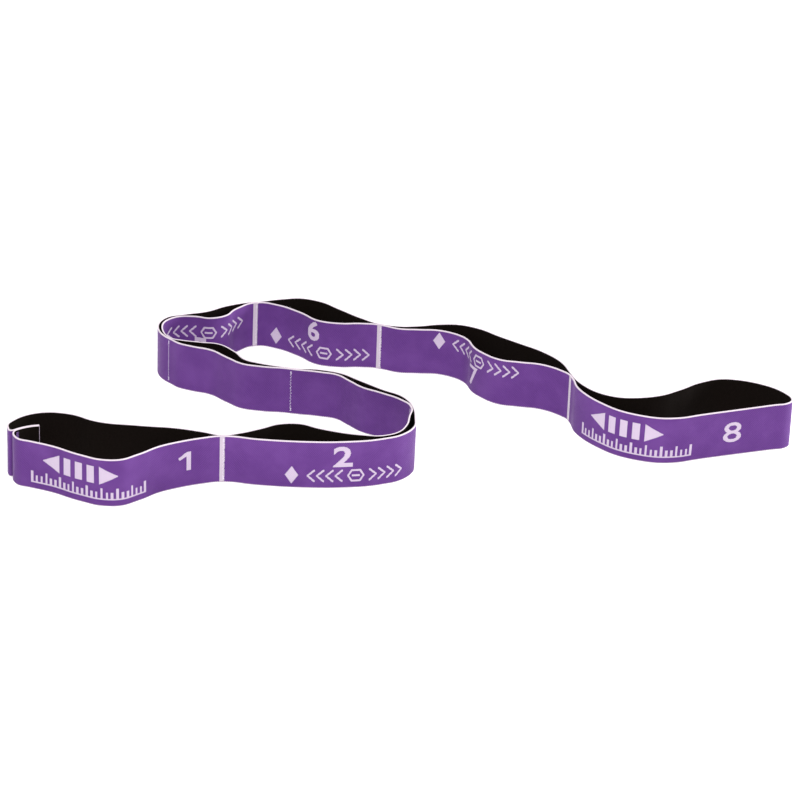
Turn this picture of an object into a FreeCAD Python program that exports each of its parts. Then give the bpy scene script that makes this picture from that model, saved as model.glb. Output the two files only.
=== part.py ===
import FreeCAD, Part
import math
import os

import Sketcher
from FreeCAD import Placement, Rotation, Vector

# Elastic stretching strap with eight numbered loops, standing on its lower edge.
#
# One closed strip of elastic webbing is pressed flat into two layers and sewn through at seven
# cross seams, which leave eight loops.  The strip's two ends are sewn together at loop 1, where
# they form a short tab that points into the loop.  The strap stands on edge in an S: loops 1
# and 2 in front, 3 and 4 behind them, 5 to 8 at the back.
#
# Frame: Z up, X to the right along the front run, Y towards the back run, millimetres.  The
# origin is under the middle of the layout.  Every layer is an upright strip, drawn in plan as a
# chain of tangent arcs and padded to the width of the webbing.
#
# The strip bends at each cross seam and stretches along each loop.  So each layer ends a little
# before the seams' axes, and it is parted half way along its loop.

doc = FreeCAD.newDocument("stretching_strap")

# ---------------------------------------------------------------- driving dimensions
SIZES = [
    ("webbing_width", 40.0),
    ("webbing_thickness", 1.3),
    ("layer_gap", 0.1),
    ("seam_clearance", 1.4),
    ("parting_gap", 0.3),
    ("stitch_diameter", 2.2),
    ("stitch_margin", 2.5),
    ("end_stitch_setback", 4.5),
    ("end_tab_length", 22.0),
    ("end_tab_bend_radius", 37.0),
]

sheet = doc.addObject("Spreadsheet::Sheet", "Dimensions")
for row, (alias, value) in enumerate(SIZES, start=1):
    sheet.set("A%d" % row, alias.replace("_", " "))
    sheet.set("B%d" % row, str(value))
    sheet.setAlias("B%d" % row, alias)
sheet.set("A%d" % (len(SIZES) + 1), "stitch length")
sheet.set("B%d" % (len(SIZES) + 1), "=webbing_width - 2 * stitch_margin")
sheet.setAlias("B%d" % (len(SIZES) + 1), "stitch_length")
doc.recompute()

THICKNESS = sheet.webbing_thickness
LAYER_OFFSET = (THICKNESS + sheet.layer_gap) / 2
SEAM_CLEARANCE = sheet.seam_clearance
TAB_LENGTH = sheet.end_tab_length
TAB_FOOT = 2 * THICKNESS

# ---------------------------------------------------------------- the layout in plan
# Cross seams: X, Y and the heading of the strap there, counting from loop 1 to loop 8.
SEAMS = {
    "1_2": (-136.5, -95.5, 4.0),
    "2_3": (3.5, -36.5, 105.0),
    "3_4": (-91.0, 18.0, 170.0),
    "4_5": (-189.0, 60.5, 138.0),
    "5_6": (-125.0, 131.0, 14.0),
    "6_7": (-23.0, 100.0, -16.0),
    "7_8": (128.5, 23.5, -70.0),
}

# The end tab of loop 1 points into the loop from the root where the two layers part.  It leaves
# the root at this heading and bends to the right.
TAB_ROOT = (-294.6, -102.4)
TAB_HEADING = 46.0

# Where the middle line of each layer passes between its two ends.
FRONT = {
    1: [(-293.6, -104.5), (-292.8, -108.5), (-289.3, -113.5), (-279.5, -117), (-265, -122), (-240, -134.5),
        (-224.5, -140), (-210, -139), (-197, -129.5), (-182.5, -116), (-168, -107.5), (-153.5, -101)],
    2: [(-109.5, -99), (-78.5, -100), (-49, -98), (-19, -91), (-3, -82.5), (6, -69), (6.5, -54)],
    3: [(-3, -22), (-21, -9.5), (-37.5, 3), (-52, 13.5), (-69, 18)],
    4: [(-116, 24), (-126.5, 28), (-138, 43), (-149, 53), (-166, 55.5), (-179.5, 57.5)],
    5: [(-196, 75), (-195, 90), (-186, 99), (-173, 101), (-158.5, 99), (-149, 103.5), (-140, 118)],
    6: [(-105.5, 126.5), (-89.5, 116), (-73, 102), (-55.5, 99), (-40.5, 100.5)],
    7: [(-7.5, 94), (7.5, 94), (24, 94), (40.5, 86.5), (56.5, 59.5), (72, 47), (88.5, 44), (103.5, 42),
        (118, 34.5)],
    8: [(132.5, 5), (140, -7.5), (149, -17.5), (163, -29), (178.5, -35.5), (194, -38.5), (209.5, -36.5),
        (224.5, -30.5), (256.5, -19), (284, -9.5), (294.5, -6)],
}
BACK = {
    1: [(-295.9, -101.4), (-298.2, -97.5), (-299, -93), (-294.5, -84), (-284, -74.5), (-269, -70),
        (-257.5, -71), (-230.5, -82.5), (-200.5, -85.5), (-170, -87.5), (-153.5, -91)],
    2: [(-125, -91), (-109.5, -82.5), (-96, -74), (-80.5, -72), (-64.5, -78.5), (-34.5, -85.5),
        (-17.5, -85.5), (-5, -78), (0.5, -66), (2, -53)],
    3: [(-6, -25), (-21, -15.5), (-35.5, -7.5), (-45, 2), (-54.5, 11), (-69, 14.5)],
    4: [(-115, 19), (-129.5, 22), (-142, 31.5), (-155.5, 43), (-171, 48), (-181.5, 52.5)],
    5: [(-198.5, 73), (-199.5, 86.5), (-194, 97), (-180.5, 103.5), (-163, 110.5), (-148, 122)],
    6: [(-105.5, 138), (-90, 141), (-74, 136.5), (-56.5, 123), (-40.5, 110.5)],
    7: [(-7.5, 98), (7.5, 100), (24, 104.5), (40.5, 105.5), (55.5, 100), (72, 87.5), (88.5, 76),
        (103.5, 65.5), (119, 49)],
    8: [(135.5, 11.5), (149, -2), (164, -7.5), (179.5, -6.5), (196, -1), (211, 9.5), (227.5, 23), (244, 30.5),
        (259, 30), (274.5, 25), (287, 17.5), (294.5, 9.5)],
}
# The folded end of loop 8, between the front layer and the back layer.
FOLD = [(298, -2), (298, 3.5)]


# ---------------------------------------------------------------- plan geometry
def direction(heading):
    """The unit vector at a heading in degrees."""
    angle = math.radians(heading)
    return Vector(math.cos(angle), math.sin(angle), 0)


def left_of(vector):
    """The vector turned a quarter turn to the left."""
    return Vector(-vector.y, vector.x, 0)


def tangents(points, first, last):
    """A unit tangent at each point: the given ones at the ends, a circle through three between."""
    found = [first]
    for before, here, after in zip(points, points[1:], points[2:]):
        a = here - before
        b = after - here
        t = a / a.Length ** 2 + b / b.Length ** 2
        found.append(t / t.Length)
    return found + [last]


def arc_from(start, tangent, end):
    """The arc that leaves start along tangent and reaches end: start, tangent, curvature, length."""
    chord = end - start
    side = left_of(tangent).dot(chord)
    curvature = 2 * side / chord.Length ** 2
    if abs(curvature) < 1e-5:
        return (start, tangent, 0.0, chord.Length)
    sweep = 2 * math.atan2(side, tangent.dot(chord))
    return (start, tangent, curvature, sweep / curvature)


def along(arc, distance, offset=0.0):
    """The point at a distance along an arc, moved to the left by offset, and the tangent there."""
    start, tangent, curvature, _ = arc
    normal = left_of(tangent)
    turn = curvature * distance
    if curvature == 0:
        point = start + tangent * distance
    else:
        centre = start + normal / curvature
        point = centre + (tangent * math.sin(turn) - normal * math.cos(turn)) / curvature
    here = tangent * math.cos(turn) + normal * math.sin(turn)
    return point + left_of(here) * offset, here


def chain_through(points, first, last):
    """Pairs of tangent arcs through the points."""
    directions = tangents(points, first, last)
    chain = []
    for p, q, t, u in zip(points, points[1:], directions, directions[1:]):
        v = q - p
        w = t + u
        a = 2 * (1 - t.dot(u))
        b = v.dot(w)
        c = v.dot(v)
        if a < 1e-9:
            reach = c / (2 * b)
        else:
            reach = (-b + math.sqrt(b * b + a * c)) / a
        middle = (p + q + (t - u) * reach) / 2
        first_arc = arc_from(p, t, middle)
        chain.append(first_arc)
        chain.append(arc_from(middle, along(first_arc, first_arc[3])[1], q))
    return chain


def chain_length(chain):
    return sum(arc[3] for arc in chain)


def part_of(chain, begin, end):
    """The part of a chain between two distances from its start."""
    kept = []
    done = 0.0
    for arc in chain:
        low = max(begin - done, 0)
        high = min(end - done, arc[3])
        if high - low > 1e-6:
            start, tangent = along(arc, low)
            kept.append((start, tangent, arc[2], high - low))
        done += arc[3]
    return kept


def edge_curve(arc, offset):
    """One side of a strip along an arc."""
    start = along(arc, 0, offset)[0]
    middle = along(arc, arc[3] / 2, offset)[0]
    end = along(arc, arc[3], offset)[0]
    if arc[2] == 0:
        return Part.LineSegment(start, end)
    return Part.Arc(start, middle, end)


# ---------------------------------------------------------------- solids
def origin_plane(body, role):
    """One of a body's own origin planes."""
    return next(f for f in body.Origin.OriginFeatures if f.Role == role)


def new_sketch(body, name):
    sketch = body.newObject("Sketcher::SketchObject", name)
    sketch.AttachmentSupport = (origin_plane(body, "XY_Plane"), [""])
    sketch.MapMode = "FlatFace"
    return sketch


def new_pad(body, sketch, name, length):
    pad = body.newObject("PartDesign::Pad", name)
    pad.Profile = sketch
    pad.setExpression("Length", "Dimensions." + length)
    sketch.Visibility = False
    return pad


parts = []

# The layout's middle, which becomes the origin.
LAYOUT_MIDDLE = Vector(-0.3, 0.3, 0)


def add_strip(name, chain):
    """An upright strip of webbing along a chain of arcs."""
    half = THICKNESS / 2
    body = doc.addObject("PartDesign::Body", name)
    body.Label = name
    sketch = new_sketch(body, name + "_outline")
    left = [edge_curve(arc, half) for arc in chain]
    right = [edge_curve(arc, -half) for arc in chain]
    count = len(chain)
    sketch.addGeometry(left + right, False)
    ends = []
    for first, distance in ((chain[0], 0), (chain[-1], chain[-1][3])):
        ends.append(Part.LineSegment(along(first, distance, half)[0], along(first, distance, -half)[0]))
    sketch.addGeometry(ends, False)
    corners = [(2 * count, 1, 0, 1), (2 * count, 2, count, 1)]
    corners += [(2 * count + 1, 1, count - 1, 2), (2 * count + 1, 2, 2 * count - 1, 2)]
    for side in (0, count):
        corners += [(side + i, 2, side + i + 1, 1) for i in range(count - 1)]
    # An arc is stored counter-clockwise, so one that turns right has its ends the other way round.
    turned = [arc[2] < 0 for arc in chain] * 2 + [False, False]
    constraints = []
    for one, one_end, two, two_end in corners:
        one_end = 3 - one_end if turned[one] else one_end
        two_end = 3 - two_end if turned[two] else two_end
        constraints.append(Sketcher.Constraint("Coincident", one, one_end, two, two_end))
    sketch.addConstraint(constraints)
    new_pad(body, sketch, name + "_pad", "webbing_width")
    body.Placement = Placement(-LAYOUT_MIDDLE, Rotation())
    parts.append(body)


def add_stitch_column(name, x, y):
    """The upright row of thread that goes through both layers at a seam."""
    body = doc.addObject("PartDesign::Body", name)
    body.Label = name
    sketch = new_sketch(body, name + "_section")
    circle = Part.Circle(Vector(0, 0, 0), Vector(0, 0, 1), sheet.stitch_diameter / 2)
    index = sketch.addGeometry(circle, False)
    sketch.addConstraint(Sketcher.Constraint("Coincident", index, 3, -1, 1))
    size = sketch.addConstraint(Sketcher.Constraint("Diameter", index, sheet.stitch_diameter))
    sketch.setExpression("Constraints[%d]" % size, "Dimensions.stitch_diameter")
    new_pad(body, sketch, name + "_pad", "stitch_length")
    foot = Vector(x, y, sheet.stitch_margin) - LAYOUT_MIDDLE
    body.Placement = Placement(foot, Rotation())
    parts.append(body)


# ---------------------------------------------------------------- the layers
# The middle line of the end tab, from its root to its tip.
TAB_LINE = (Vector(*TAB_ROOT, 0), direction(TAB_HEADING), -1 / sheet.end_tab_bend_radius, TAB_LENGTH)


def seam_end(name, side, step):
    """A layer's end beside a cross seam, on the left (+1) or right (-1), before or after it."""
    x, y, heading = SEAMS[name]
    ahead = direction(heading)
    point = Vector(x, y, 0) + ahead * (step * SEAM_CLEARANCE) + left_of(ahead) * (side * LAYER_OFFSET)
    return point, ahead


def layer_chain(number, side, via):
    """The middle line of one layer of a loop, from its low-numbered end to its high-numbered end."""
    points = [Vector(x, y, 0) for x, y in via]
    end, last = seam_end("%d_%d" % (number, number + 1), side, -1)
    if number > 1:
        start, first = seam_end("%d_%d" % (number - 1, number), side, 1)
        return chain_through([start] + points + [end], first, last)
    # Loop 1 starts at the tip of the end tab, and the layers part at the tab's foot.
    tip, tip_heading = along(TAB_LINE, TAB_LENGTH, side * LAYER_OFFSET)
    foot, foot_heading = along(TAB_LINE, TAB_FOOT, side * LAYER_OFFSET)
    tab = arc_from(tip, tip_heading * -1, foot)
    return [tab] + chain_through([foot] + points + [end], foot_heading * -1, last)


def folded_chain(number, front, fold, back):
    """The middle line of the last loop: out along the front, round the fold and back."""
    name = "%d_%d" % (number - 1, number)
    start, first = seam_end(name, -1, 1)
    end, last = seam_end(name, 1, 1)
    points = [Vector(x, y, 0) for x, y in front + fold + back[::-1]]
    return chain_through([start] + points + [end], first, last * -1)


HALF_GAP = sheet.parting_gap / 2
LENGTHS = {}

for number in range(1, 8):
    for side, layer, routes in ((-1, "front", FRONT), (1, "back", BACK)):
        chain = layer_chain(number, side, routes[number])
        total = chain_length(chain)
        LENGTHS["loop_%d_%s" % (number, layer)] = total
        tab = TAB_LENGTH if number == 1 else 0
        middle = tab + (total - tab) / 2
        add_strip("loop_%d_low_%s" % (number, layer), part_of(chain, 0, middle - HALF_GAP))
        add_strip("loop_%d_high_%s" % (number, layer), part_of(chain, middle + HALF_GAP, total))

chain = folded_chain(8, FRONT[8], FOLD, BACK[8])
total = chain_length(chain)
LENGTHS["loop_8_both"] = total
quarter = total / 4
add_strip("loop_8_low_front", part_of(chain, 0, quarter - HALF_GAP))
add_strip("loop_8_high_fold", part_of(chain, quarter + HALF_GAP, total - quarter - HALF_GAP))
add_strip("loop_8_low_back", part_of(chain, total - quarter + HALF_GAP, total))

# ---------------------------------------------------------------- the stitching
for name, (x, y, heading) in SEAMS.items():
    add_stitch_column("cross_stitch_" + name, x, y)

end_stitch = along(TAB_LINE, sheet.end_stitch_setback)[0]
add_stitch_column("end_seam_stitch", end_stitch.x, end_stitch.y)

# ---------------------------------------------------------------- check and write
doc.recompute()
for item in doc.Objects:
    if "Invalid" in item.State or "Error" in item.State:
        raise RuntimeError("%s failed: %s" % (item.Name, item.State))
for body in parts:
    if body.Shape.isNull() or not body.Shape.isValid() or len(body.Shape.Solids) != 1:
        raise RuntimeError(body.Label + " is not one valid solid")

os.makedirs("parts", exist_ok=True)
for body in parts:
    body.Shape.exportStep("parts/%s.step" % body.Label)

whole = FreeCAD.BoundBox()
for body in parts:
    whole.add(body.Shape.BoundBox)
print("box", whole)
for name, length in LENGTHS.items():
    print(name, "%.1f mm" % length)
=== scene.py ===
import math

import bpy
import numpy as np
from mathutils import Matrix, Vector


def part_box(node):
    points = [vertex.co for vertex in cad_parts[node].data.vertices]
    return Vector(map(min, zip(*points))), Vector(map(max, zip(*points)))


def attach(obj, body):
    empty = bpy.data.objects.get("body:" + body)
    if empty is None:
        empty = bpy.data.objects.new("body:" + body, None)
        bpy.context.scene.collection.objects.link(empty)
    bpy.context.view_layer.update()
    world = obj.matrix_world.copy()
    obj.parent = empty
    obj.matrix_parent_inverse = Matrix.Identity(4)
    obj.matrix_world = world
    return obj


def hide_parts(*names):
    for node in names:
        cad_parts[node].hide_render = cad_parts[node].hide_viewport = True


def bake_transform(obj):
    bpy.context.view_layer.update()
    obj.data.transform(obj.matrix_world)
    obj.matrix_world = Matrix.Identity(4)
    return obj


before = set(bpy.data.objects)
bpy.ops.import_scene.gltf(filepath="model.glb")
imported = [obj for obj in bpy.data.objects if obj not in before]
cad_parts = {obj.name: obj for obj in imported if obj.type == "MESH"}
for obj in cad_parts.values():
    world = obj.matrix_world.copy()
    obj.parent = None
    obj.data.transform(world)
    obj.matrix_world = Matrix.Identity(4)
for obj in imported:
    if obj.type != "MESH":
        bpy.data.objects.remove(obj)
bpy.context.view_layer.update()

# Elastic stretching strap with eight loops, standing on its lower edge.
# Lengths are in metres.  Names that end in _MM and the drawings of the marks are in millimetres.

MM = 0.001
WIDTH = 40 * MM  # of the webbing
HALF = 0.65 * MM  # half the webbing's thickness at its selvedges
FACE = 0.60 * MM  # half its thickness between them
SELVEDGE = 1.3 * MM  # the width of each thicker selvedge
SELVEDGE_STEP = 0.6 * MM  # the width over which it gets thinner
LINE_STEP = 0.5 * MM  # between points of the strip's middle line
MICRON = 1e-6
FAR = 1e9
RANDOM = np.random.default_rng(8)

SEAMS = range(1, 8)  # seam n is between loops n and n + 1
SEAM_ENDS = 10 * MM  # how far a seam's pieces reach to each side of it


# ---------------------------------------------------------------- the strip's middle line
def plan_outline(node):
    """The outline of a CAD layer in plan, point after point, found from its top faces."""
    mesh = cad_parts[node].data
    points = [tuple(round(c / MICRON) for c in v.co) for v in mesh.vertices]
    top = max(p[2] for p in points)
    uses = {}
    for face in mesh.polygons:
        corners = [points[i] for i in face.vertices]
        if min(p[2] for p in corners) < top - 2:
            continue
        for a, b in zip(corners, corners[1:] + corners[:1]):
            edge = frozenset((a[:2], b[:2]))
            uses[edge] = uses.get(edge, 0) + 1
    links = {}
    for edge, count in uses.items():
        if count == 1 and len(edge) == 2:
            a, b = sorted(edge)
            links.setdefault(a, []).append(b)
            links.setdefault(b, []).append(a)
    first = min(links)
    loop = [first, min(links[first])]
    while True:
        following = [p for p in links[loop[-1]] if p != loop[-2]][0]
        if following == first:
            break
        loop.append(following)
    return np.array(loop, float) * MICRON


def lengths_along(points):
    steps = np.linalg.norm(np.diff(points, axis=0), axis=1)
    return np.concatenate([[0], np.cumsum(steps)])


def resample(points, step):
    distance = lengths_along(points)
    count = max(2, int(round(distance[-1] / step)) + 1)
    wanted = np.linspace(0, distance[-1], count)
    return np.stack([np.interp(wanted, distance, points[:, k]) for k in (0, 1)], axis=1)


def nearest_on(line, points):
    """For each point, the nearest place on a polyline."""
    a = line[:-1]
    edge = line[1:] - a
    t = ((points[:, None] - a[None]) * edge[None]).sum(2) / (edge ** 2).sum(1)[None]
    place = a[None] + np.clip(t, 0, 1)[..., None] * edge[None]
    gap = ((place - points[:, None]) ** 2).sum(2)
    return place[np.arange(len(points)), gap.argmin(1)]


def middle_line(node):
    """The middle line of a CAD layer in plan, between its two short ends."""
    loop = plan_outline(node)
    before = loop - np.roll(loop, 1, axis=0)
    after = np.roll(loop, -1, axis=0) - loop
    cross = before[:, 0] * after[:, 1] - before[:, 1] * after[:, 0]
    turn = np.abs(np.degrees(np.arctan2(cross, (before * after).sum(1))))
    # The four sharpest turns are the corners between its long sides and its ends.
    corners = sorted(np.argsort(turn)[-4:])
    loop = np.roll(loop, -corners[0], axis=0)
    marks = [c - corners[0] for c in corners] + [len(loop)]
    closed = np.concatenate([loop, loop[:1]])
    sides = [closed[a:b + 1] for a, b in zip(marks, marks[1:])]
    if lengths_along(sides[0])[-1] < lengths_along(sides[1])[-1]:
        one, two = sides[1], sides[3]
    else:
        one, two = sides[0], sides[2]
    one = resample(one, LINE_STEP)
    return (one + nearest_on(two, one)) / 2


def layer_nodes():
    """The strip's CAD layers in the order they follow each other, from one cut end to the other."""
    out = [f"loop_{n}_{half}_front" for n in range(1, 8) for half in ("low", "high")]
    back = [f"loop_{n}_{half}_back" for n in range(7, 0, -1) for half in ("high", "low")]
    return out + ["loop_8_low_front", "loop_8_high_fold", "loop_8_low_back"] + back


def whole_line():
    """The middle lines of all layers, each turned to begin where the one before it ends."""
    nodes = layer_nodes()
    lines = [middle_line(node) for node in nodes]
    gap = [min(np.linalg.norm(lines[0][end] - lines[1][k]) for k in (0, -1)) for end in (0, -1)]
    if gap[0] < gap[1]:
        lines[0] = lines[0][::-1]
    joined = [lines[0]]
    for line in lines[1:]:
        here = joined[-1][-1]
        if np.linalg.norm(line[-1] - here) < np.linalg.norm(line[0] - here):
            line = line[::-1]
        joined.append(line)
    return np.concatenate(joined)


def smooth(points, reach):
    """A running mean with a bell-shaped weight, which keeps the two ends in place."""
    k = np.arange(-3 * reach, 3 * reach + 1)
    weight = np.exp(-0.5 * (k / reach) ** 2)
    weight /= weight.sum()
    pad = 3 * reach
    head = 2 * points[0] - points[pad:0:-1]
    tail = 2 * points[-1] - points[-2:-pad - 2:-1]
    padded = np.concatenate([head, points, tail])
    return np.stack([np.convolve(padded[:, c], weight, "valid") for c in (0, 1)], axis=1)


line = smooth(resample(whole_line(), LINE_STEP), 2)
line_s = lengths_along(line)
LENGTH = line_s[-1]
line_t = np.gradient(line, axis=0)
line_t /= np.linalg.norm(line_t, axis=1)[:, None]
line_heading = np.unwrap(np.arctan2(line_t[:, 1], line_t[:, 0]))


def seam_centre(n):
    low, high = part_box(f"cross_stitch_{n}_{n + 1}")
    return np.array([(low.x + high.x) / 2, (low.y + high.y) / 2])


def s_near(point, low, high):
    """The distance along the strip where it passes nearest to a point, between two distances."""
    inside = (line_s >= low) & (line_s <= high)
    gap = np.where(inside, ((line - point) ** 2).sum(1), FAR)
    return line_s[gap.argmin()]


CENTRES = {n: seam_centre(n) for n in SEAMS}
FRONT_S = {n: s_near(CENTRES[n], 0, LENGTH / 2) for n in SEAMS}
BACK_S = {n: s_near(CENTRES[n], LENGTH / 2, LENGTH) for n in SEAMS}


# ---------------------------------------------------------------- from the flat strip to its place
# The printed side is on the right as the strip runs from loop 1 to loop 8 and back.
def lean(x, y):
    """How far the strip's upper edge leans from its lower edge; it is the same for touching layers."""
    dx = 0.5 * MM * np.sin(31 * x + 1.1) * np.cos(23 * y + 0.4)
    dy = 0.7 * MM * np.sin(24 * x - 0.6) * np.cos(17 * y)
    return dx, dy


def place(s, out, z):
    """Points at a distance s along the strip, out from its middle to the printed side, at height z."""
    s, out, z = np.broadcast_arrays(np.asarray(s, float), out, z)
    x = np.interp(s, line_s, line[:, 0])
    y = np.interp(s, line_s, line[:, 1])
    heading = np.interp(s, line_s, line_heading)
    dx, dy = lean(x, y)
    rise = np.clip(z / WIDTH, 0, 1.2) ** 1.5
    x = x + out * np.sin(heading) + dx * rise
    y = y - out * np.cos(heading) + dy * rise
    return np.stack([x, y, z], axis=-1)


def face_out(z):
    """How far a face stands out from the middle at height z, round selvedges included."""
    edge = np.minimum(z, WIDTH - z)
    round_part = np.sqrt(np.clip(HALF ** 2 - (HALF - np.clip(edge, 0, HALF)) ** 2, 0, None))
    flat_part = HALF + (FACE - HALF) * np.clip((edge - SELVEDGE) / SELVEDGE_STEP, 0, 1)
    return np.where(edge < HALF, round_part, flat_part)


LONGEST_STEP = 1.25 * MM
SHARPEST_TURN = math.radians(4)


def section_stops(start, end):
    """Distances along the strip, closer together where it bends."""
    stops = [start]
    bend = np.abs(np.gradient(line_heading, line_s))
    while stops[-1] < end:
        here = np.interp(stops[-1], line_s, bend)
        stops.append(stops[-1] + min(LONGEST_STEP, SHARPEST_TURN / max(here, 1e-6)))
    stops = np.array(stops)
    return start + (stops - start) * (end - start) / (stops[-1] - start)


def profile():
    """The webbing's section: distances out from the middle, heights, and lengths round it."""
    arc = np.radians(np.linspace(-90, 0, 5))
    outs = list(HALF * np.cos(arc))
    heights = list(HALF + HALF * np.sin(arc))
    inside = SELVEDGE + SELVEDGE_STEP
    middle = np.concatenate([[SELVEDGE], np.linspace(inside, WIDTH - inside, 12), [WIDTH - SELVEDGE]])
    outs += list(face_out(middle))
    heights += list(middle)
    outs += list(HALF * np.cos(arc[::-1]))
    heights += list(WIDTH - HALF - HALF * np.sin(arc[::-1]))
    right = np.stack([outs, heights], axis=1)
    left = right[-2:0:-1] * np.array([-1, 1])
    points = np.concatenate([right, left])
    return points, lengths_along(np.concatenate([points, points[:1]]))


PROFILE, PROFILE_V = profile()
TOP_V = PROFILE_V[len(PROFILE) // 2]  # the length round the section from the lower edge to the upper


# ---------------------------------------------------------------- meshes
def new_object(name, points, faces, corner_uvs, material, smooth_faces=True):
    mesh = bpy.data.meshes.new(name)
    mesh.from_pydata([tuple(p) for p in points], [], faces)
    layer = mesh.uv_layers.new(name="Strip")
    layer.data.foreach_set("uv", np.asarray(corner_uvs, np.float32).ravel())
    mesh.polygons.foreach_set("use_smooth", [smooth_faces] * len(mesh.polygons))
    mesh.materials.append(material)
    mesh.update()
    obj = bpy.data.objects.new(name, mesh)
    bpy.context.scene.collection.objects.link(obj)
    return obj


def strip_normals(stops, cap_stops):
    """The webbing's own normals at the corners of its faces, so that neighbouring pieces shade as one."""
    count = len(PROFILE)
    before = np.roll(PROFILE, 1, axis=0)
    across = np.roll(PROFILE, -1, axis=0) - before
    out = across[:, 1] / np.linalg.norm(across, axis=1)
    rise = -across[:, 0] / np.linalg.norm(across, axis=1)
    heading = np.interp(stops, line_s, line_heading)
    right = np.stack([np.sin(heading), -np.cos(heading)], axis=1)
    level = out[None, :, None] * right[:, None]
    upright = np.broadcast_to(rise[None, :, None], (len(stops), count, 1))
    normals = np.concatenate([level, upright], axis=2)
    corners = []
    for i in range(len(stops) - 1):
        for j in range(count):
            k = (j + 1) % count
            corners += [normals[i, j], normals[i + 1, j], normals[i + 1, k], normals[i, k]]
    for sign, s in zip((-1, 1), cap_stops):
        heading = np.interp(s, line_s, line_heading)
        corners += [sign * np.array([math.cos(heading), math.sin(heading), 0])] * count
    return [tuple(c) for c in corners]


def webbing_piece(name, start, end, cut_start=False, cut_end=False):
    """A length of the strip as a closed solid: printed side, black side and, at cut ends, their own."""
    stops = section_stops(start, end)
    count = len(PROFILE)
    grid = place(stops[:, None], PROFILE[None, :, 0], PROFILE[None, :, 1])
    points = grid.reshape(-1, 3)
    faces = []
    uvs = []
    for i in range(len(stops) - 1):
        for j in range(count):
            k = (j + 1) % count
            faces.append((i * count + j, (i + 1) * count + j, (i + 1) * count + k, i * count + k))
            a, b = PROFILE_V[j], PROFILE_V[j + 1]
            uvs += [(stops[i], a), (stops[i + 1], a), (stops[i + 1], b), (stops[i], b)]
    last = (len(stops) - 1) * count
    caps = [([j for j in range(count)], stops[0]), ([last + j for j in range(count)][::-1], stops[-1])]
    for corners, s in caps:
        faces.append(corners)
        uvs += [(s, PROFILE_V[c % count]) for c in corners]
    obj = new_object(name, points, faces, uvs, PRINTED_SIDE)
    obj.data.materials.append(BLACK_SIDE)
    obj.data.materials.append(CUT_END)
    inner = [int(j >= count // 2) for j in range(count)] * (len(stops) - 1)
    obj.data.polygons.foreach_set("material_index", inner + [2 if cut_start else 0, 2 if cut_end else 0])
    obj.data.normals_split_custom_set(strip_normals(stops, [s for _, s in caps]))
    return obj


PRINT_RISE = 0.05 * MM
BAR_RISE = 0.04 * MM
PRINT_ROOT = -0.06 * MM  # a print's hidden back, under the printed face


def cell_piece(name, s_edges, z_edges, filled, material, front=PRINT_RISE, back=PRINT_ROOT):
    """Woven-in lettering: the filled cells of a grid, standing a little out of the printed face."""
    columns, rows = filled.shape
    used = {}
    points = []
    uvs = []
    faces = []

    def corner(i, j, depth):
        key = (i, j, depth)
        if key not in used:
            used[key] = len(points)
            out = face_out(np.clip(z_edges[j], 0, WIDTH)) + (front if depth else back)
            points.append(place(s_edges[i], out, z_edges[j]))
        return used[key]

    def add(corners):
        faces.append([corner(*c) for c in corners])
        uvs.extend((s_edges[i], z_edges[j]) for i, j, _ in corners)

    def is_filled(i, j):
        return 0 <= i < columns and 0 <= j < rows and filled[i, j]

    for i, j in zip(*np.nonzero(filled)):
        add([(i, j, 1), (i + 1, j, 1), (i + 1, j + 1, 1), (i, j + 1, 1)])
        if not is_filled(i - 1, j):
            add([(i, j, 0), (i, j, 1), (i, j + 1, 1), (i, j + 1, 0)])
        if not is_filled(i + 1, j):
            add([(i + 1, j, 1), (i + 1, j, 0), (i + 1, j + 1, 0), (i + 1, j + 1, 1)])
        if not is_filled(i, j - 1):
            add([(i, j, 0), (i + 1, j, 0), (i + 1, j, 1), (i, j, 1)])
        if not is_filled(i, j + 1):
            add([(i, j + 1, 1), (i + 1, j + 1, 1), (i + 1, j + 1, 0), (i, j + 1, 0)])
    obj = new_object(name, points, faces, uvs, material, smooth_faces=False)
    return obj


def tube(path, radius, sides=6):
    """Points and faces of a closed tube round a path."""
    path = np.asarray(path, float)
    ahead = np.gradient(path, axis=0)
    ahead /= np.linalg.norm(ahead, axis=1)[:, None]
    nearly_up = np.array([1e-4, 1e-4, 1 + 1e-4])  # so that it is never along an upright path
    side = np.cross(ahead, nearly_up)
    side /= np.linalg.norm(side, axis=1)[:, None]
    over = np.cross(side, ahead)
    angle = np.linspace(0, 2 * math.pi, sides, endpoint=False)
    ring = side[:, None] * np.cos(angle)[None, :, None] + over[:, None] * np.sin(angle)[None, :, None]
    ring *= np.broadcast_to(radius, len(path))[:, None, None]
    points = (path[:, None] + ring).reshape(-1, 3)
    faces = []
    for i in range(len(path) - 1):
        for j in range(sides):
            k = (j + 1) % sides
            faces.append((i * sides + j, i * sides + k, (i + 1) * sides + k, (i + 1) * sides + j))
    faces.append(tuple(range(sides))[::-1])
    last = (len(path) - 1) * sides
    faces.append(tuple(last + j for j in range(sides)))
    return points, faces


def thread_piece(name, paths, radius, material):
    """Many short stitches as one object."""
    points = []
    faces = []
    uvs = []
    total = 0
    for path in paths:
        p, f = tube(path, radius)
        points.append(p)
        faces += [tuple(total + i for i in face) for face in f]
        for face in f:
            uvs += [(0.0, 0.0)] * len(face)
        total += len(p)
    obj = new_object(name, np.concatenate(points), faces, uvs, material)
    return obj


# ---------------------------------------------------------------- materials
BUMP_STRENGTH = 0.7


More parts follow.
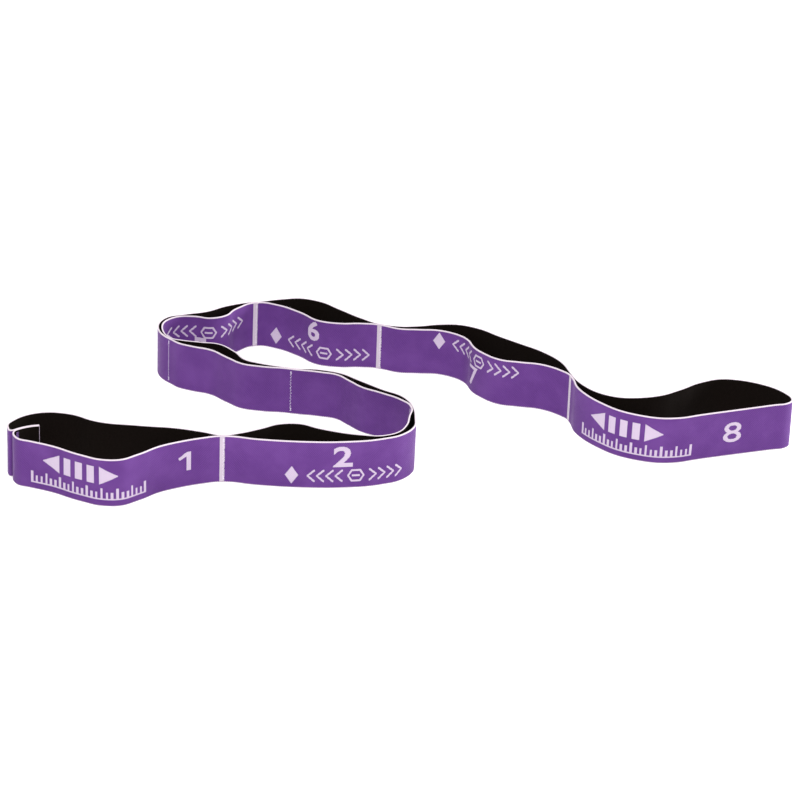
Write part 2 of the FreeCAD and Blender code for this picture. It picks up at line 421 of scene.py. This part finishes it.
class Nodes:
    """A material's node tree, with short ways to add sums and mixes."""

    def __init__(self, name):
        self.material = bpy.data.materials.new(name)
        self.material.use_nodes = True
        self.tree = self.material.node_tree
        self.shader = self.tree.nodes["Principled BSDF"]

    def node(self, kind, **settings):
        made = self.tree.nodes.new(kind)
        for key, value in settings.items():
            setattr(made, key, value)
        return made

    def link(self, source, target):
        self.tree.links.new(source, target)

    def feed(self, socket, value):
        if isinstance(value, (int, float, tuple)):
            socket.default_value = value
        else:
            self.link(value, socket)

    def math(self, operation, a, b=0.0, c=0.0, clamp=False):
        made = self.node("ShaderNodeMath", operation=operation, use_clamp=clamp)
        for socket, value in zip(made.inputs, (a, b, c)):
            self.feed(socket, value)
        return made.outputs[0]

    def mix(self, factor, a, b):
        made = self.node("ShaderNodeMix", data_type="RGBA")
        self.feed(made.inputs["Factor"], factor)
        self.feed(made.inputs[6], a)
        self.feed(made.inputs[7], b)
        return made.outputs[2]

    def blend_value(self, factor, a, b):
        made = self.node("ShaderNodeMix", data_type="FLOAT")
        self.feed(made.inputs["Factor"], factor)
        self.feed(made.inputs[2], a)
        self.feed(made.inputs[3], b)
        return made.outputs[0]

    def step(self, value, low, high):
        """0 below low, 1 above high, smooth between."""
        made = self.node("ShaderNodeMapRange", interpolation_type="SMOOTHSTEP")
        self.feed(made.inputs["Value"], value)
        self.feed(made.inputs["From Min"], low)
        self.feed(made.inputs["From Max"], high)
        return made.outputs[0]

    def strip_uv(self):
        uv = self.node("ShaderNodeUVMap", uv_map="Strip")
        split = self.node("ShaderNodeSeparateXYZ")
        self.link(uv.outputs[0], split.inputs[0])
        return uv.outputs[0], split.outputs[0], split.outputs[1]

    def noise(self, vector, scale, detail=3.0):
        made = self.node("ShaderNodeTexNoise")
        self.link(vector, made.inputs["Vector"])
        made.inputs["Scale"].default_value = scale
        made.inputs["Detail"].default_value = detail
        return made.outputs[0]

    def brick_weave(self, u, v, pitch_u, pitch_v):
        """Rounded floats of yarn, each row shifted by half a float: 1 on a float, 0 between."""
        row = self.math("DIVIDE", v, pitch_v)
        shifted = self.math("MULTIPLY_ADD", self.math("FLOOR", row), 0.5, self.math("DIVIDE", u, pitch_u))
        across = self.math("ABSOLUTE", self.math("SUBTRACT", self.math("FRACT", shifted), 0.5))
        up = self.math("ABSOLUTE", self.math("SUBTRACT", self.math("FRACT", row), 0.5))
        a = self.math("SUBTRACT", 1.0, self.math("POWER", self.math("MULTIPLY", across, 2.0), 3.0))
        b = self.math("SUBTRACT", 1.0, self.math("POWER", self.math("MULTIPLY", up, 2.0), 2.0))
        return self.math("MULTIPLY", a, b, clamp=True)

    def ribs(self, distance, size):
        """Rounded ribs: a wave between 0 and 1."""
        wave = self.math("SINE", self.math("DIVIDE", distance, size))
        return self.math("MULTIPLY_ADD", wave, 0.5, 0.5)

    def bump(self, height, distance, strength=BUMP_STRENGTH):
        made = self.node("ShaderNodeBump")
        self.link(height, made.inputs["Height"])
        made.inputs["Distance"].default_value = distance
        made.inputs["Strength"].default_value = strength
        self.link(made.outputs[0], self.shader.inputs["Normal"])

    def set(self, **values):
        for key, value in values.items():
            self.feed(self.shader.inputs[key.replace("_", " ")], value)


FLOAT_U = 1.5 * MM  # a float of yarn, along the strip and across it
FLOAT_V = 0.75 * MM
YARN_GRAIN = 2600.0
CLOUD_GRAIN = 42.0  # the wide, soft changes of the purple
WEAVE_DEPTH = 0.10 * MM
BAR_DEPTH = 0.12 * MM
TWIST_DEPTH = 0.05 * MM
CUT_DEPTH = 0.15 * MM
PRINTED_EDGE = (1.15 * MM, 1.35 * MM)  # where the white selvedge ends on the printed side
PRINTED_RAGGED = 0.35 * MM
BLACK_EDGE = (0.65 * MM, 0.85 * MM)  # and on the black side
BLACK_RAGGED = 0.2 * MM
SELVEDGE_RIB = 0.17 * MM
BAR_RIB_U = 0.16 * MM
BAR_RIB_V = 0.14 * MM
BAR_GRAIN = 2200.0
PURPLE = (0.124, 0.040, 0.222, 1)
PURPLE_PAINTED_SHADE = (0.058, 0.015, 0.115, 1)
PURPLE_LIGHT = (0.158, 0.060, 0.265, 1)
BLACK = (0.0042, 0.0023, 0.0016, 1)
BLACK_PAINTED_LIGHT = (0.0105, 0.0065, 0.0052, 1)
WHITE = (0.63, 0.555, 0.605, 1)
WHITE_PAINTED_SHADE = (0.40, 0.33, 0.40, 1)
PRINT_PAINTED_SHADE = (0.30, 0.21, 0.37, 1)
PRINT_PLAIN = (0.52, 0.43, 0.54, 1)
PRINT_LIGHT = (0.62, 0.54, 0.63, 1)
BAR_PAINTED_SHADE = (0.48, 0.41, 0.48, 1)
BAR_PAINTED_LIGHT = (0.62, 0.55, 0.60, 1)
THREAD_PAINTED_SHADE_AND_LIGHT = ((0.66, 0.58, 0.72, 1), (0.86, 0.81, 0.90, 1))
PURPLE_THREAD_PAINTED_SHADE_AND_LIGHT = ((0.12, 0.05, 0.24, 1), (0.26, 0.13, 0.42, 1))
CUT_SHADE = (0.26, 0.18, 0.30, 1)
CUT_LIGHT = (0.56, 0.48, 0.56, 1)


def to_edge(n, v):
    """The distance round the section to the nearer selvedge's middle."""
    past_top = n.math("ABSOLUTE", n.math("SUBTRACT", v, TOP_V))
    return n.math("MINIMUM", past_top, n.math("SUBTRACT", TOP_V, past_top))


def selvedge_colour(n, u):
    rib = n.ribs(u, SELVEDGE_RIB)
    # The white selvedge turns to a painted shade in step with its ribs, which also set its bumps.
    return n.mix(n.math("MULTIPLY", rib, 0.4), WHITE, WHITE_PAINTED_SHADE), rib


def purple_yarn(n, uv, weave):
    soft = n.noise(uv, CLOUD_GRAIN)
    # Between the yarn floats the purple is a painted shade; the soft clouds are the dye's own random
    # tone.
    purple = n.mix(n.step(weave, 0.1, 0.75), PURPLE_PAINTED_SHADE, PURPLE)
    return n.mix(n.math("MULTIPLY", n.step(soft, 0.35, 0.75), 0.35), purple, PURPLE_LIGHT)


def black_yarn(n, uv, weave):
    # The black yarn's floats are painted lighter than the gaps between them, by random amounts: painted
    # light on the weave.
    return n.mix(n.math("MULTIPLY", weave, n.noise(uv, YARN_GRAIN)), BLACK, BLACK_PAINTED_LIGHT)


def webbing_material(name, yarn_colour, edge, ragged, **finish):
    """Floats of yarn between white, ribbed selvedges, whose inner edges are ragged."""
    n = Nodes(name)
    uv, u, v = n.strip_uv()
    weave = n.brick_weave(u, v, FLOAT_U, FLOAT_V)
    fine = n.noise(uv, YARN_GRAIN)
    inwards = n.math("MULTIPLY_ADD", n.math("SUBTRACT", weave, 0.5), ragged, to_edge(n, v))
    ground = n.step(inwards, *edge)
    white, rib = selvedge_colour(n, u)
    colour = n.mix(ground, white, yarn_colour(n, uv, weave))
    n.link(colour, n.shader.inputs["Base Color"])
    height = n.blend_value(ground, n.math("MULTIPLY", rib, 0.5), weave)
    n.bump(n.math("MULTIPLY_ADD", fine, 0.3, height), WEAVE_DEPTH)
    n.set(**finish)
    return n.material


def print_material():
    n = Nodes("woven_print")
    uv, u, v = n.strip_uv()
    weave = n.brick_weave(u, v, FLOAT_U, FLOAT_V)
    fine = n.noise(uv, YARN_GRAIN)
    # Between its floats the lettering's yarn is a painted shade; the finer, random lightening is the
    # yarn's own tone.
    yarn = n.mix(n.step(weave, 0.0, 0.45), PRINT_PAINTED_SHADE, PRINT_PLAIN)
    n.link(n.mix(n.math("MULTIPLY", fine, 0.25), yarn, PRINT_LIGHT), n.shader.inputs["Base Color"])
    n.bump(n.math("MULTIPLY_ADD", fine, 0.3, weave), WEAVE_DEPTH)
    n.set(Roughness=0.75, Specular_IOR_Level=0.25, Sheen_Weight=0.15)
    return n.material


def bar_material():
    n = Nodes("woven_bar")
    uv, u, v = n.strip_uv()
    grid = n.math("MULTIPLY", n.ribs(u, BAR_RIB_U), n.ribs(v, BAR_RIB_V))
    fine = n.noise(uv, BAR_GRAIN)
    # The bar's ribs are painted light on their tops and a painted shade between them, in step with their
    # bumps.
    n.link(n.mix(n.math("MULTIPLY", grid, 0.6), BAR_PAINTED_SHADE, BAR_PAINTED_LIGHT), n.shader.inputs["Base Color"])
    n.bump(n.math("MULTIPLY_ADD", fine, 0.4, grid), BAR_DEPTH)
    n.set(Roughness=0.75, Specular_IOR_Level=0.25, Sheen_Weight=0.15)
    return n.material


def thread_material(name, shade, light):
    n = Nodes(name)
    place_on = n.node("ShaderNodeTexCoord")
    wave = n.node("ShaderNodeTexWave", wave_type="BANDS", bands_direction="DIAGONAL")
    n.link(place_on.outputs["Object"], wave.inputs["Vector"])
    wave.inputs["Scale"].default_value = 900.0
    wave.inputs["Distortion"].default_value = 1.5
    # The thread's twist is painted: a painted shade in its grooves and painted light on its ridges, in
    # step with its bumps.
    n.link(n.mix(wave.outputs[1], shade, light), n.shader.inputs["Base Color"])
    n.bump(wave.outputs[1], TWIST_DEPTH, 0.8)
    n.set(Roughness=0.5, Specular_IOR_Level=0.4, Sheen_Weight=0.1)
    return n.material


def cut_material():
    n = Nodes("cut_end")
    place_on = n.node("ShaderNodeTexCoord")
    grain = n.noise(place_on.outputs["Object"], 900.0)
    n.link(n.mix(grain, CUT_SHADE, CUT_LIGHT), n.shader.inputs["Base Color"])
    n.bump(grain, CUT_DEPTH, 0.8)
    n.set(Roughness=0.6, Specular_IOR_Level=0.4)
    return n.material


PRINTED_SIDE = webbing_material(
    "webbing_printed_side", purple_yarn, PRINTED_EDGE, PRINTED_RAGGED, Roughness=0.68,
    Specular_IOR_Level=0.14, Sheen_Weight=0.16, Sheen_Roughness=0.35, Sheen_Tint=(0.95, 0.75, 1.0, 1))
BLACK_SIDE = webbing_material(
    "webbing_black_side", black_yarn, BLACK_EDGE, BLACK_RAGGED, Roughness=0.85,
    Specular_IOR_Level=0.06, Sheen_Weight=0.005)
PRINT = print_material()
BAR = bar_material()
THREAD = thread_material("sewing_thread", *THREAD_PAINTED_SHADE_AND_LIGHT)
PURPLE_THREAD = thread_material("purple_thread", *PURPLE_THREAD_PAINTED_SHADE_AND_LIGHT)
CUT_END = cut_material()


def with_loop(obj):
    """Bakes the piece's transform into its mesh."""
    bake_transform(obj)


def with_seam(obj):
    """Bakes the piece's transform into its mesh."""
    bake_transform(obj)


# ---------------------------------------------------------------- the webbing
for n in SEAMS:
    starts = {"front": FRONT_S[n - 1] + SEAM_ENDS if n > 1 else 0.0, "back": BACK_S[n] + SEAM_ENDS}
    ends = {"front": FRONT_S[n] - SEAM_ENDS, "back": BACK_S[n - 1] - SEAM_ENDS if n > 1 else LENGTH}
    for layer in ("front", "back"):
        piece = webbing_piece(f"webbing_loop_{n}_{layer}", starts[layer], ends[layer],
                              cut_start=n == 1 and layer == "front", cut_end=n == 1 and layer == "back")
        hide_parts(f"loop_{n}_low_{layer}", f"loop_{n}_high_{layer}")
        with_loop(piece)
    for layer, seam_s in (("front", FRONT_S[n]), ("back", BACK_S[n])):
        piece = webbing_piece(f"webbing_seam_{n}_{n + 1}_{layer}", seam_s - SEAM_ENDS, seam_s + SEAM_ENDS)
        with_seam(piece)

start, end = FRONT_S[7] + SEAM_ENDS, BACK_S[7] - SEAM_ENDS
piece = webbing_piece("webbing_loop_8", start, end)
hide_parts("loop_8_low_front", "loop_8_high_fold", "loop_8_low_back")
with_loop(piece)


# ---------------------------------------------------------------- the woven-in lettering and marks
CELL_U = FLOAT_U / 3  # a cell of the lettering, along the strip and across it
CELL_V = FLOAT_V / 2


def in_polygon(x, y, corners):
    inside = np.zeros(np.broadcast(x, y).shape, bool)
    for (x1, y1), (x2, y2) in zip(corners, corners[1:] + corners[:1]):
        crosses = (y1 > y) != (y2 > y)
        if y1 != y2:
            inside ^= crosses & (x < x1 + (y - y1) * (x2 - x1) / (y2 - y1))
    return inside


def on_stroke(x, y, points, width):
    """Within half a width of a line through the points."""
    near = np.full(np.broadcast(x, y).shape, FAR)
    for (x1, y1), (x2, y2) in zip(points, points[1:]):
        dx, dy = x2 - x1, y2 - y1
        t = np.clip(((x - x1) * dx + (y - y1) * dy) / (dx * dx + dy * dy), 0, 1)
        near = np.minimum(near, np.hypot(x - x1 - t * dx, y - y1 - t * dy))
    return near < width / 2


def digit_one(x, y):
    """A bold 1 with a slanted flag and no foot."""
    return in_polygon(x, y, [(5.2, 8.0), (5.2, -8.0), (1.4, -8.0), (1.4, 4.2), (-3.9, 1.5), (-5.2, 3.4),
                             (1.2, 7.6), (2.6, 8.0)])


def digit_shape(character, width, height, weight):
    """A test for points inside a bold digit of a size in millimetres, centred on the origin."""
    curve = bpy.data.curves.new("digit", "FONT")
    curve.body = character
    curve.offset = weight
    obj = bpy.data.objects.new("digit", curve)
    bpy.context.scene.collection.objects.link(obj)
    graph = bpy.context.evaluated_depsgraph_get()
    mesh = bpy.data.meshes.new_from_object(obj.evaluated_get(graph))
    mesh.calc_loop_triangles()
    points = np.array([v.co[:2] for v in mesh.vertices])
    low, high = points.min(0), points.max(0)
    points = (points - (low + high) / 2) * np.array([width, height]) / (high - low)
    corners = [[tuple(points[i]) for i in t.vertices] for t in mesh.loop_triangles]
    bpy.data.objects.remove(obj)
    bpy.data.meshes.remove(mesh)
    bpy.data.curves.remove(curve)

    def test(x, y):
        inside = np.zeros(np.broadcast(x, y).shape, bool)
        for triangle in corners:
            inside |= in_polygon(x, y, triangle)
        return inside

    return test


def small_mark(x, y):
    """A solid diamond, then thin arrow heads that point both ways from a six-sided ring. 91 by 15 mm."""
    found = in_polygon(x, y, [(-45.5, 0.5), (-40.5, 8), (-35.5, 0.5), (-40.5, -7)])
    for k in range(4):
        left = -23.5 + 7 * k
        found |= on_stroke(x, y, [(left, 4.6), (left - 5, 0), (left, -4.6)], 1.4)
        right = 18.5 + 7 * k
        found |= on_stroke(x, y, [(right, 4.6), (right + 5, 0), (right, -4.6)], 1.4)
    ring = [(2, 0), (5, 4.6), (11, 4.6), (14, 0), (11, -4.6), (5, -4.6), (2, 0)]
    return found | on_stroke(x, y, ring, 1.4) | on_stroke(x, y, [(5.5, 0), (10.5, 0)], 1.4)


def large_mark(x, y):
    """Two bold arrow heads with three bars between them. 63 by 14 mm."""
    found = in_polygon(x, y, [(-31.5, 0), (-17, 7.5), (-17, -7.5)])
    found |= in_polygon(x, y, [(31.5, 0), (17, 7.5), (17, -7.5)])
    for centre in (-10, 0, 10):
        found |= (np.abs(x - centre) < 3.2) & (np.abs(y) < 7)
    return found


def ruler_mark(x, y):
    """A line of ruler ticks, every third one longer. 96 by 10 mm."""
    found = (np.abs(x) < 48) & (y > -5) & (y < -3.6)
    for k in range(25):
        tall = 5.0 if k % 3 == 0 else 1.4
        found |= (np.abs(x + 47.1 - k * 94.2 / 24) < 0.9) & (y > -5) & (y < tall)
    return found


def woven_mark(name, n, middle_s, middle_z, width, height, test):
    """Weaves a shape into the printed face round a place; sizes are in millimetres."""
    columns = int(math.ceil((width + 1) * MM / CELL_U / 2)) * 2
    rows = int(math.ceil((height + 1) * MM / CELL_V / 2)) * 2
    across = (np.arange(columns + 1) - columns / 2) * CELL_U
    up = (np.arange(rows + 1) - rows / 2) * CELL_V
    x = (across[:-1, None] + across[1:, None]) / 2 / MM
    y = (up[None, :-1] + up[None, 1:]) / 2 / MM
    piece = cell_piece(name, middle_s + across, middle_z + up, test(x, y), PRINT)
    with_loop(piece)


ROOT_S = FRONT_S[1] - 180.2 * MM  # where loop 1 begins, past the end tab

# In millimetres for each loop: how far a mark's middle is from the seam before the loop and from
# the floor.  A digit's width and height follow; a large mark's two numbers for its ruler follow.
DIGITS = {
    1: (150, 22, 10.4, 16.5), 2: (90.5, 27, 14.5, 17.5), 3: (57, 29.5, 12.5, 17), 4: (54, 11.5, 12.5, 17),
    5: (63, 12.7, 12, 17), 6: (56, 29.5, 11.5, 17.3), 7: (90.5, 14.8, 12, 17), 8: (158.5, 20.6, 15, 17.3)}
SMALL_MARKS = {2: (92.6, 10.8), 3: (57, 11), 4: (54, 28.5), 5: (62, 26.5), 6: (58, 11.7), 7: (89, 30.2)}
LARGE_MARKS = {1: (61, 26, 68, 10.5), 8: (70, 25.5, 77, 10)}
BOLD, LESS_BOLD = 0.025, 0.005  # how far a digit's outline is pushed out
SMALL_SIZE = (91, 16)
LARGE_SIZE = (63, 15)
RULER_SIZE = (96, 10)


def loop_start(n):
    return FRONT_S[n - 1] if n > 1 else ROOT_S


for n, (distance, height, width, tall) in DIGITS.items():
    shape = digit_one if n == 1 else digit_shape(str(n), width, tall, LESS_BOLD if n > 6 else BOLD)
    woven_mark(f"digit_{n}", n, loop_start(n) + distance * MM, height * MM, width, tall, shape)
for n, (distance, height) in SMALL_MARKS.items():
    middle_s = loop_start(n) + distance * MM
    woven_mark(f"small_mark_{n}", n, middle_s, height * MM, *SMALL_SIZE, small_mark)
for n, (distance, height, ruler_distance, ruler_height) in LARGE_MARKS.items():
    middle_s, ruler_s = loop_start(n) + distance * MM, loop_start(n) + ruler_distance * MM
    woven_mark(f"large_mark_{n}", n, middle_s, height * MM, *LARGE_SIZE, large_mark)
    woven_mark(f"ruler_mark_{n}", n, ruler_s, ruler_height * MM, *RULER_SIZE, ruler_mark)

# A white bar is woven into the printed face at each seam.  Its last column is a ragged edge.
BAR_BEGIN_MM, BAR_END_MM = -2.7, 1.2
BAR_COLUMNS, BAR_ROWS = 8, 81
BAR_EDGE = 0.03 * MM  # from a selvedge to the bar
BAR_HEM = 0.3 * MM  # from a selvedge to the end of its first row

for n in SEAMS:
    s_edges = FRONT_S[n] + np.linspace(BAR_BEGIN_MM, BAR_END_MM, BAR_COLUMNS + 1) * MM
    rows = np.linspace(BAR_HEM, WIDTH - BAR_HEM, BAR_ROWS - 1)
    z_edges = np.concatenate([[BAR_EDGE], rows, [WIDTH - BAR_EDGE]])
    filled = np.ones((BAR_COLUMNS, BAR_ROWS), bool)
    filled[-1] = (np.arange(BAR_ROWS) % 2 == 0) ^ (RANDOM.random(BAR_ROWS) < 0.12)
    piece = cell_piece(f"bar_{n}_{n + 1}", s_edges, z_edges, filled, BAR, front=BAR_RISE)
    with_seam(piece)


# ---------------------------------------------------------------- the sewing
THREAD_RADIUS = 0.14 * MM
THICK_THREAD_RADIUS = 0.16 * MM
STITCH_SINK = 0.28 * MM  # how deep a stitch's ends are under the face
STITCH_RISES = {1: 0.43 * MM, -1: 0.30 * MM}  # the stitches one way stand higher than those back
STITCH_WOBBLE = 0.06 * MM
ON_PRINTED, ON_BLACK = 1, -1  # the side of the strip that a stitch is seen on

SEAM_INSET = 2.6 * MM  # from a selvedge to the first stitch of a cross seam
SEAM_REACH = 0.75 * MM
SEAM_PITCH = 2.9 * MM
TACK_LENGTH = 2.6 * MM  # how far a row is gone over again at each end
TACK_REACH = 0.85 * MM
TACK_PITCH = 1.5 * MM
TACK_SHIFT = 0.2 * MM
END_INSET = 2.0 * MM  # the end seam is a wide, dense zigzag
END_REACH = 1.7 * MM
END_PITCH = 1.0 * MM
END_SHIFT = 0.8 * MM  # its middle lies nearer to the tab's root than the CAD column
TAB_SEARCH = 100 * MM  # the tab is within this distance of the strip's ends


def dipping(s_one, z_one, s_two, z_two, side, rise):
    """One stitch on a face of the strip: up out of the cloth, across and back in."""
    t = np.linspace(0, 1, 7)
    z = z_one + (z_two - z_one) * t
    out = face_out(z) - STITCH_SINK + rise * np.sin(math.pi * t)
    return place(s_one + (s_two - s_one) * t, out * side, z)


def zigzag(centre, low, high, reach, pitch, side, shift=0.0):
    """A row of stitches from a low height to a high one, which swings out by reach to each side."""
    paths = []
    z = low
    step = 1
    while z < high - 0.2 * pitch:
        wobble = RANDOM.normal(0, STITCH_WOBBLE, 3)
        a = centre - step * reach + wobble[0]
        b = centre + step * reach + wobble[1]
        z_two = z + pitch / 2 + wobble[2]
        paths.append(dipping(a + shift, z, b + shift, z_two, side, STITCH_RISES[step]))
        z += pitch / 2
        step = -step
    return paths


def seam_paths(centre):
    """A zigzag row across the printed face, gone over again at both ends."""
    low, high = SEAM_INSET, WIDTH - SEAM_INSET
    paths = zigzag(centre, low, high, SEAM_REACH, SEAM_PITCH, ON_PRINTED)
    for a, b in ((low, low + TACK_LENGTH), (high - TACK_LENGTH, high)):
        paths += zigzag(centre, a, b, TACK_REACH, TACK_PITCH, ON_PRINTED, shift=TACK_SHIFT)
    return paths


def end_seam_paths(centre):
    return zigzag(centre, END_INSET, WIDTH - END_INSET, END_REACH, END_PITCH, ON_BLACK)


for n in SEAMS:
    paths = seam_paths(FRONT_S[n]) + seam_paths(BACK_S[n])
    piece = thread_piece(f"thread_seam_{n}_{n + 1}", paths, THREAD_RADIUS, THREAD)
    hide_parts(f"cross_stitch_{n}_{n + 1}")
    with_seam(piece)

# The end seam goes through the tab, whose black faces are outside.
low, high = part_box("end_seam_stitch")
end_seam = np.array([(low.x + high.x) / 2, (low.y + high.y) / 2])
tab_front = s_near(end_seam, 0, TAB_SEARCH) + END_SHIFT
tab_back = s_near(end_seam, LENGTH - TAB_SEARCH, LENGTH) - END_SHIFT
paths = end_seam_paths(tab_front) + end_seam_paths(tab_back)
piece = thread_piece("thread_end_seam", paths, THICK_THREAD_RADIUS, PURPLE_THREAD)
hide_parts("end_seam_stitch")
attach(piece, "loop_1_low")

# The two cut ends are sealed with heat, which leaves a pale, uneven bead.
BEAD_RADIUS = 0.42 * MM
BEAD_INSET = 0.5 * MM
BEAD_SWELL = 0.05 * MM
BEAD_GRAIN = 0.02 * MM
BEAD_STEPS = 60

for name, s in (("cut_end_front", 0.0), ("cut_end_back", LENGTH)):
    z = np.linspace(BEAD_INSET, WIDTH - BEAD_INSET, BEAD_STEPS)
    grain = RANDOM.normal(0, BEAD_GRAIN, BEAD_STEPS)
    swell = BEAD_RADIUS + BEAD_SWELL * np.sin(z * 900 + s * 7) + grain
    points, faces = tube(place(s, 0.0, z), swell, sides=10)
    bead = new_object(name, points, faces, [(0.0, 0.0)] * sum(len(f) for f in faces), CUT_END)
    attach(bead, "loop_1_low")


# ---------------------------------------------------------------- the camera and the light
CAMERA_AT = (-0.0052, -2.352, 1.2756)
LOOKS_DOWN = math.radians(28)
ROLL = math.radians(2.39)
LENS_MM = 154.35

FLOOR_TONES = ((0.93, 0.93, 0.93, 1), (0.95, 0.95, 0.95, 1))
FLOOR_GLOW = 0.2
WORLD_STRENGTH = 0.65


def add_camera():
    """A camera that looks along +Y and down, rolled a little."""
    camera = bpy.data.objects.new("camera", bpy.data.cameras.new("camera"))
    bpy.context.scene.collection.objects.link(camera)
    camera.data.sensor_width = 36
    camera.data.lens = LENS_MM
    camera.data.clip_end = 50
    ahead = Vector((0, math.cos(LOOKS_DOWN), -math.sin(LOOKS_DOWN)))
    right = Vector((1, 0, 0))
    up = right.cross(ahead)
    rolled_right = right * math.cos(ROLL) + up * math.sin(ROLL)
    rolled_up = up * math.cos(ROLL) - right * math.sin(ROLL)
    turned = Matrix((rolled_right, rolled_up, -ahead)).transposed().to_4x4()
    camera.matrix_world = Matrix.Translation(CAMERA_AT) @ turned
    bpy.context.scene.camera = camera


def add_floor():
    mesh = bpy.data.meshes.new("floor")
    mesh.from_pydata([(-6, -6, 0), (6, -6, 0), (6, 12, 0), (-6, 12, 0)], [], [(0, 1, 2, 3)])
    floor = bpy.data.objects.new("floor", mesh)
    bpy.context.scene.collection.objects.link(floor)
    pale = Nodes("floor_paint")
    spot = pale.node("ShaderNodeTexCoord")
    tone = pale.noise(spot.outputs["Object"], 3.0)
    pale.link(pale.mix(tone, *FLOOR_TONES), pale.shader.inputs["Base Color"])
    pale.set(Roughness=0.9, Specular_IOR_Level=0.1, Emission_Color=(1, 1, 1, 1),
             Emission_Strength=FLOOR_GLOW)
    mesh.materials.append(pale.material)


def add_world():
    world = bpy.data.worlds.new("studio")
    world.use_nodes = True
    background = world.node_tree.nodes["Background"]
    background.inputs["Color"].default_value = (1, 1, 1, 1)
    background.inputs["Strength"].default_value = WORLD_STRENGTH
    bpy.context.scene.world = world
    bpy.context.scene.view_settings.view_transform = "Standard"


def soft_light(name, where, aim, size, watts):
    data = bpy.data.lights.new(name, "AREA")
    data.shape = "SQUARE"
    data.size = size
    data.energy = watts
    lamp = bpy.data.objects.new(name, data)
    bpy.context.scene.collection.objects.link(lamp)
    lamp.location = where
    lamp.rotation_mode = "QUATERNION"
    lamp.rotation_quaternion = (Vector(aim) - Vector(where)).to_track_quat("-Z", "Y")


add_camera()
add_floor()
add_world()
soft_light("left", (-1.5, -3.0, 1.6), (0.1, 0, 0.02), 1.2, 12)
soft_light("near", (-0.1, -0.9, 1.1), (0.0, 0, 0.02), 0.5, 10)
soft_light("right", (1.6, 0.5, 0.5), (0.05, 0, 0.02), 0.6, 30)
soft_light("overhead", (0.1, 0.2, 2.4), (0.1, 0, 0), 3.0, 42)
